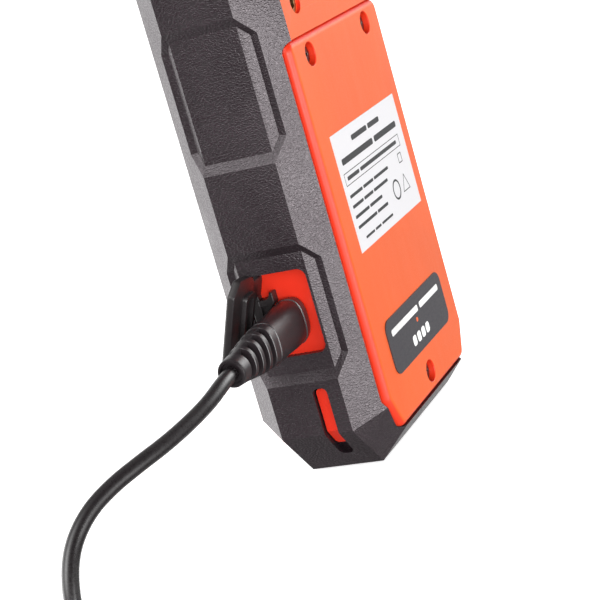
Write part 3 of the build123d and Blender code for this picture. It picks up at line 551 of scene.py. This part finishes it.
def make_usb_grip():
    """Large plug's grip: a short ringed relief, shoulders, and a shallow thumb hollow."""
    x, y, z = TAIL_ROUTE[-1]
    width, length, thick = USB_GRIP
    relief = [(0.0, 4.6, 4.6, 2.0), (0.25, 5.2, 5.2, 2.0), (3.9, 6.4, 6.0, 2.1)]
    grip = [(USB_RELIEF, 7.2, 6.4, 2.3), (USB_RELIEF + 0.5, 10.5, 6.9, 3.0),
            (USB_RELIEF + 1.6, 14.6, 7.7, 4.0), (USB_RELIEF + 3.2, width, thick, 4.6),
            (USB_RELIEF + length - 1.2, width, thick, 4.8),
            (USB_RELIEF + length - 0.2, width - 0.9, thick - 0.7, 4.6),
            (USB_RELIEF + length, width - 1.5, thick - 1.2, 4.4)]
    stations = relief + grip
    places = [station[0] for station in stations]
    places += spread(USB_RELIEF + 3.8, USB_RELIEF + 15.8, 16)
    for groove in USB_RINGS:
        places += [groove - 0.26, groove - 0.24, groove + 0.24, groove + 0.26]
    loops = []
    for along in sorted(places):
        wide, deep, power = between_stations(stations, along)
        grooved = any(abs(along - groove) < 0.25 for groove in USB_RINGS)
        hollow = max(0.0, 1 - ((along - USB_RELIEF - HOLLOW_AT) / HOLLOW_HALF_LENGTH) ** 2)
        loop = []
        for across, up in squircle(wide / 2, deep / 2, power, 96):
            scale = 0.86 if grooved else 1.0
            dish = HOLLOW_DEPTH * hollow * max(0.0, 1 - (across / HOLLOW_HALF_WIDTH) ** 2)
            loop.append((x + across * scale, y - along, z + up * scale - math.copysign(dish, up)))
        loops.append(loop)
    return add_piece("large_plug_grip", lofted("large_plug_grip", loops, 38), "lead",
                     "plug_moulding", "usb_plug")


# ---- port cover ----------------------------------------------------------------------
HINGE = Vector((31.2, -7.7, 34.9))
COVER_LEAN = math.radians(22)
FLAP_T = 1.7
STRAP_LOW, STRAP_HIGH = 5.8, 10.4      # heights between which the cover's strap leaves the flap


def flap_place(reach, out, height):
    """A place on the open cover: reach from the hinge, out of its inner face, and up along it."""
    sine, cosine = math.sin(COVER_LEAN), math.cos(COVER_LEAN)
    return (HINGE.x + reach, HINGE.y + out * cosine + height * sine,
            HINGE.z - out * sine + height * cosine)


def rounded_outline(corners, steps=5):
    """Closed outline of (a, b, radius) corners, each corner an arc."""
    points = []
    for index, (a, b, radius) in enumerate(corners):
        corner = Vector((a, b))
        before = (Vector(corners[index - 1][:2]) - corner).normalized()
        after = (Vector(corners[(index + 1) % len(corners)][:2]) - corner).normalized()
        half = before.angle(after) / 2
        centre = corner + (before + after).normalized() * radius / math.sin(half)
        start = corner + before * radius / math.tan(half) - centre
        end = corner + after * radius / math.tan(half) - centre
        for step in range(steps + 1):
            points.append(centre + start.lerp(end, step / steps).normalized() * radius)
    return points


def make_flap():
    """Open port cover: a plate with rounded edges and a raised sealing rim inside."""
    plate = rounded_outline([(1.0, -6.8, 1.2), (10.7, -6.8, 2.0), (10.7, 10.3, 1.0),
                             (8.1, 13.0, 1.0), (3.0, 12.4, 1.5), (1.0, 11.2, 0.6)])
    outer = rounded_outline([(1.5, -5.6, 1.0), (6.3, -5.6, 1.0), (6.3, 9.2, 1.0),
                             (1.5, 9.2, 1.0)])
    inner = rounded_outline([(2.6, -4.5, 0.6), (5.2, -4.5, 0.6), (5.2, 8.1, 0.6),
                             (2.6, 8.1, 0.6)])
    shape = bmesh.new()

    def loop(points, out, shrink=0.0):
        """One loop of the plate at a distance out of its middle plane."""
        middle = sum(points, Vector((0, 0))) / len(points)
        moved = [p + (middle - p).normalized() * shrink for p in points]
        return [shape.verts.new(mm(*flap_place(p.x, out, p.y))) for p in moved]

    half = FLAP_T / 2
    rows = [loop(plate, -half, 0.5), loop(plate, -half + 0.16, 0.16), loop(plate, -half + 0.5),
            loop(plate, half - 0.3), loop(plate, half - 0.08, 0.08), loop(plate, half, 0.3)]
    band(shape, rows)
    shape.faces.new(rows[0])
    shape.faces.new(rows[-1])
    rim = [loop(outer, half - 0.2), loop(outer, half + 0.6), loop(outer, half + 0.85, 0.2),
           loop(inner, half + 0.85, -0.15), loop(inner, half + 0.7), loop(inner, half - 0.2)]
    band(shape, rim + rim[:1])
    add_piece("cover_flap", finish_mesh(shape, "cover_flap", 40), "port_cover", "cover_rubber",
              "port_cover")


def make_strap():
    """Rubber strap that runs between the pad in the window and the flap."""
    middle = (STRAP_LOW + STRAP_HIGH) / 2
    loops = []
    for reach in spread(-3.6, 1.9, 18):
        thin = 1.15 + 0.35 * min(1.0, abs(reach) / 1.6)
        loops.append([flap_place(reach, a, middle + b)
                      for a, b in squircle(thin / 2, (STRAP_HIGH - STRAP_LOW) / 2, 4, 40)])
    strap = add_piece("cover_strap", lofted("cover_strap", loops, 50), None, "cover_rubber")
    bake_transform(strap)


PAD_FOOT = 27.3                # x of the pad's underside, on the window's floor
PAD_BLOCKS = [                 # x of the top, and the (y, z, radius) corners
    (29.1, [(-6.7, 29.5, 0.8), (-4.7, 29.5, 0.3), (-4.7, 43.7, 0.3), (-6.7, 43.7, 0.8)]),
    (28.7, [(-4.9, 29.5, 0.3), (-2.4, 29.5, 0.8), (-2.4, 39.6, 0.3), (-4.9, 39.6, 0.3)]),
    (29.6, [(-4.8, 38.4, 0.3), (-1.3, 38.4, 0.5), (-1.3, 41.0, 0.25), (-1.9, 41.0, 0.25),
            (-2.5, 39.8, 0.6), (-4.8, 39.6, 0.2)])]


def make_pad():
    """Cover's fixed end: a pad in the window, and the hook that the shut cover snaps on."""
    shape = bmesh.new()
    for top, corners in PAD_BLOCKS:
        outline = rounded_outline(corners)
        rows = [[shape.verts.new(mm(x, p.x, p.y)) for p in outline] for x in (PAD_FOOT, top)]
        band(shape, rows)
        for row in rows:
            shape.faces.new(row)
    pad = add_piece("cover_pad", finish_mesh(shape, "cover_pad"), "radio", "cover_rubber",
                    "port_cover_strap")
    add_round(pad, 0.25)


# ---- printing ------------------------------------------------------------------------
LABEL_Y, BADGE_Y = 14.9, 15.05
INK_SUNK, INK_T = -0.01, 0.015         # levels of the ink's foot and top, from the face


def ink(name, y, outlines, slot, material, rings=()):
    """Thin printed shapes on a face that looks along +Y, from (x, z) outlines and rings."""
    shape = bmesh.new()

    def edge(outline, level):
        """Vertices along an outline, at a level from the face."""
        return [shape.verts.new(mm(x, y + level, z)) for x, z in outline]

    for outline in outlines:
        rows = [edge(outline, INK_SUNK), edge(outline, INK_T)]
        band(shape, rows)
        for row in rows:
            shape.faces.new(row)
    for outer, inner in rings:
        rows = [edge(outer, INK_SUNK), edge(outer, INK_T), edge(inner, INK_T),
                edge(inner, INK_SUNK)]
        band(shape, rows + rows[:1])
    add_piece(name, finish_mesh(shape, name), "radio", slot, material=material)


def bar(x, z, width, height):
    """Outline of a bar with rounded ends, centred on a place."""
    corner = min(width, height) * 0.3
    half_w, half_h = width / 2, height / 2
    points = rounded_outline([(-half_w, -half_h, corner), (half_w, -half_h, corner),
                              (half_w, half_h, corner), (-half_w, half_h, corner)], 3)
    return [(x + p.x, z + p.y) for p in points]


def word_row(x_start, x_end, z, height, words, gap):
    """A row of bars that fills a stretch; words gives their relative widths."""
    room = abs(x_end - x_start) - gap * (len(words) - 1)
    sign = math.copysign(1, x_end - x_start)
    x, bars = x_start, []
    for share in words:
        width = room * share / sum(words)
        bars.append(bar(x + sign * width / 2, z, width, height))
        x += sign * (width + gap)
    return bars


def ring(x, z, radius, width, sides=40, turn=0.0):
    """Outer and inner outline of a ring or of a polygon's frame."""
    def loop(r):
        """Places on the circle of radius r."""
        angles = [turn + 2 * math.pi * i / sides for i in range(sides)]
        return [(x + r * math.cos(angle), z + r * math.sin(angle)) for angle in angles]

    return loop(radius), loop(radius - width)


def frame_ring(x0, x1, z0, z1, width):
    """Outer and inner outline of a rectangular frame."""
    outer = [(x0, z0), (x1, z0), (x1, z1), (x0, z1)]
    inner = [(x0 + width, z0 + width), (x1 - width, z0 + width),
             (x1 - width, z1 - width), (x0 + width, z1 - width)]
    return outer, inner


def make_label_print():
    """Rows of plain bars where a label has its lines, and three simple symbols."""
    rows = word_row(8.0, -8.6, 64.2, 1.1, (4, 3), 0.8)
    rows += word_row(15.8, -17.0, 61.0, 1.3, (8, 6), 1.0)
    rows += word_row(15.2, -14.6, 57.5, 0.8, (3, 10), 0.8)
    draw = random.Random(4)
    for index, reach in enumerate((-6.5, -4.6, 0.5, -1.5)):
        words = [draw.uniform(2, 6) for _ in range(3 if index < 2 else 2)]
        rows += word_row(16.4, reach, 54.0 - 2.15 * index, 0.66, words, 0.6)
    rows += word_row(14.0, -2.5, 44.8, 0.52, (3, 2, 4), 0.7)
    rings = [frame_ring(-16.6, 16.6, 56.2, 58.8, 0.16), ring(-8.2, 48.6, 2.2, 0.45),
             ring(-13.8, 48.2, 2.5, 0.4, 3, math.pi / 2),
             ring(-14.4, 54.0, 1.5, 0.3, 4, math.pi / 4)]
    ink("label_print", LABEL_Y, rows, "label_paper", label_ink, rings)


def make_badge_print():
    """Two rows of plain white bars on the badge, with a dot between them."""
    rows = word_row(15.2, -15.2, 24.3, 1.35, (8, 6), 1.3)
    rows += [bar(x, 18.9, 2.1, 2.2) for x in (4.4, 1.6, -1.2, -4.0)]
    dot = [ring(0.4, 22.2, 0.5, 0.2, 24)[0]]
    ink("badge_print", BADGE_Y, rows, "badge_film", white_ink)
    ink("badge_dot", BADGE_Y, dot, "badge_film", orange_ink)


# ---- knob marks ----------------------------------------------------------------------
TOP_Y, KNOB_TOP, BODY_TOP = 0.6, 131.0, 118.0
CHANNEL_X, VOLUME_X = -1.0, 14.6
DIALS = [                      # knob's x, radius of the circle of dots, their angles and sizes
    (CHANNEL_X, 8.0, spread(-90, 247.5, 16), [0.32] * 16),
    (VOLUME_X, 7.9, spread(40, -220, 11), spread(0.45, 0.16, 11))]
DOT_PROFILE = [(-0.02, 1.0), (0.03, 1.0), (0.07, 0.72), (0.09, 0.3)]    # height, share of radius
DOT_SIDES = 16


def make_dial_marks():
    """Sixteen domed dots round the channel knob, and a growing row of them round the other."""
    shape = bmesh.new()
    round_dot = [2 * math.pi * i / DOT_SIDES for i in range(DOT_SIDES)]
    for knob_x, reach, angles, sizes in DIALS:
        for angle, size in zip(angles, sizes):
            x = knob_x + reach * math.cos(math.radians(angle))
            y = TOP_Y + reach * math.sin(math.radians(angle))
            rows = [[shape.verts.new(mm(x + size * share * math.cos(turn),
                                        y + size * share * math.sin(turn), BODY_TOP + height))
                     for turn in round_dot] for height, share in DOT_PROFILE]
            band(shape, rows)
            shape.faces.new(rows[0])
            shape.faces.new(rows[-1])
    add_piece("dial_marks", finish_mesh(shape, "dial_marks"), "radio", "knob_plastic",
              material=white_ink)


def make_pointer(name, x, body):
    """White pointer line on a knob's top."""
    loops = []
    for along in spread(1.2, 5.3, 8):
        loops.append([(x + a, TOP_Y - along, KNOB_TOP + 0.02 + b)
                      for a, b in squircle(0.38, 0.06, 4, 16)])
    add_piece(name, lofted(name, loops), body, "knob_plastic", material=white_ink)


# ---- stage ---------------------------------------------------------------------------
# Directions in the surroundings; each glow has its sharpness and its strength
DARK_BESIDE = Vector((0.90, -0.43, -0.10)).normalized()
DARK_BELOW = Vector((-0.15, -0.35, -0.92)).normalized()
GLOWS = [(Vector((0.36, 0.90, -0.22)), 16.0, 7.0),      # key, on the bevels of the back
         (Vector((-0.05, -0.96, -0.28)), 8.0, 2.6),     # fill, on the bevels of the front
         (Vector((0.55, -0.45, 0.70)), 14.0, 4.2),      # from above, on the ramps and the cable
         (Vector((-0.76, 0.55, 0.32)), 20.0, 5.0)]      # far side, over the plug


def make_world():
    """White surroundings, darker in a few directions, with the glows listed above."""
    world = bpy.data.worlds.new("world")
    bpy.context.scene.world = world
    world.use_nodes = True
    tree = world.node_tree
    back = tree.nodes["Background"]
    way = tree.nodes.new("ShaderNodeTexCoord").outputs["Generated"]

    def join(node, *values):
        """Fill a node's first inputs and return its first output that is a number."""
        for socket, value in zip(node.inputs, values):
            if isinstance(value, bpy.types.NodeSocket):
                tree.links.new(value, socket)
            else:
                socket.default_value = value
        return node.outputs.get("Value") or node.outputs[0]

    def toward(direction):
        """Cosine of the angle between the looked-at place and a direction."""
        node = tree.nodes.new("ShaderNodeVectorMath")
        node.operation = "DOT_PRODUCT"
        return join(node, way, direction)

    def maths(operation, *values):
        """Arithmetic on two values."""
        node = tree.nodes.new("ShaderNodeMath")
        node.operation = operation
        return join(node, *values)

    def smooth(value, low, high, to_low, to_high):
        """Map a value smoothly from one range to another."""
        node = tree.nodes.new("ShaderNodeMapRange")
        node.interpolation_type = "SMOOTHSTEP"
        return join(node, value, low, high, to_low, to_high)

    from_above = smooth(toward((0, 0, 1)), 0.1, 0.75, 1.0, 0.25)
    from_below = smooth(toward(DARK_BELOW), 0.60, 0.92, 1.0, 0.10)
    behind = smooth(toward((0, 1, 0)), -0.1, 0.6, 1.05, 0.16)
    beside = smooth(toward(DARK_BESIDE), 0.55, 0.95, 1.0, 0.07)
    total = maths("MULTIPLY", maths("MULTIPLY", from_above, from_below),
                  maths("MULTIPLY", behind, beside))
    for direction, sharpness, strength in GLOWS:
        seen = maths("MAXIMUM", toward(direction.normalized()), 0.0)
        total = maths("ADD", total, maths("MULTIPLY", maths("POWER", seen, sharpness), strength))
    tree.links.new(total, back.inputs["Strength"])
    back.inputs["Color"].default_value = (1, 1, 1, 1)


FLOOR_HALF, FLOOR_GAP = 6.0, 0.0004    # metres; the gap keeps it clear of the radio's underside


def make_floor():
    """Pale floor that takes a shadow but throws no light up."""
    mesh = bpy.data.meshes.new("floor")
    half, z = FLOOR_HALF, -FLOOR_GAP
    mesh.from_pydata([(-half, -half, z), (half, -half, z), (half, half, z), (-half, half, z)], [],
                     [(0, 1, 2, 3)])
    floor = bpy.data.objects.new("floor", mesh)
    bpy.context.scene.collection.objects.link(floor)
    look = Look("floor", (0.93, 0.93, 0.93), 0.9)
    look.set("Base Color", look.mixed(look.noise(400.0), (0.92, 0.92, 0.92), (0.94, 0.94, 0.94)))
    look.set("Specular IOR Level", 0.1)
    look.set("Emission Color", (1, 1, 1, 1))
    look.set("Emission Strength", 0.70)
    dress(floor, look.material)
    floor.visible_diffuse = floor.visible_glossy = False


SOFT_BOXES = [                 # name, place in metres, size in metres, watts
    ("side_box", Vector((0.62, 1.25, 0.22)), (0.5, 0.3), 4.0),
    ("port_box", Vector((1.15, 0.50, 0.12)), (0.5, 0.4), 12.0)]
LIT_PLACE = Vector((0.0, 0.0, 0.05))


def make_lights():
    """Two soft boxes: low on the back's side, and beside the camera."""
    for name, place, size, watts in SOFT_BOXES:
        data = bpy.data.lights.new(name, "AREA")
        data.shape, data.energy = "RECTANGLE", watts
        data.size, data.size_y = size
        light = bpy.data.objects.new(name, data)
        light.location = place
        light.rotation_euler = (LIT_PLACE - place).to_track_quat("-Z", "Y").to_euler()
        bpy.context.scene.collection.objects.link(light)


# ---- put it together -----------------------------------------------------------------
# CAD nodes that a copy with rounded edges stands in for, and the rounding's width in mm
SOFTENED = {"bumper_rear": 0.8, "bumper_front": 0.8, "rear_case": 0.35, "front_case": 0.40,
            "battery_cover": 0.22, "speaker_grille": 0.22, "antenna_collar": 0.25,
            "channel_knob": 0.22, "volume_knob": 0.22, "ptt_button": 0.25, "upper_side_key": 0.20,
            "lower_side_key": 0.20, "cable_tie": 0.18,
            "usb_plug_shell": 0.10, "usb_plug_tongue": 0.12, "battery_cover_screws": 0.06,
            "belt_clip_inserts": 0.08, "charge_socket": 0.08, "control_nuts": 0.10}


def main():
    """Dress the frame's nodes, add the pieces and set the stage."""
    make_camera()
    for node, slot in slot_of.items():
        dress(nodes[node], looks[slot])
    for node, width in SOFTENED.items():
        soften(node, width)
    plug, relief, cable, large_plug = make_plug(), make_relief(), make_cable(), make_usb_grip()
    make_flap()
    make_strap()
    make_pad()
    make_label_print()
    make_badge_print()
    make_dial_marks()
    make_pointer("channel_pointer", CHANNEL_X, "channel_knob")
    make_pointer("volume_pointer", VOLUME_X, "volume_knob")
    make_floor()
    make_world()
    make_lights()
    bpy.context.scene.view_settings.view_transform = "Standard"


main()
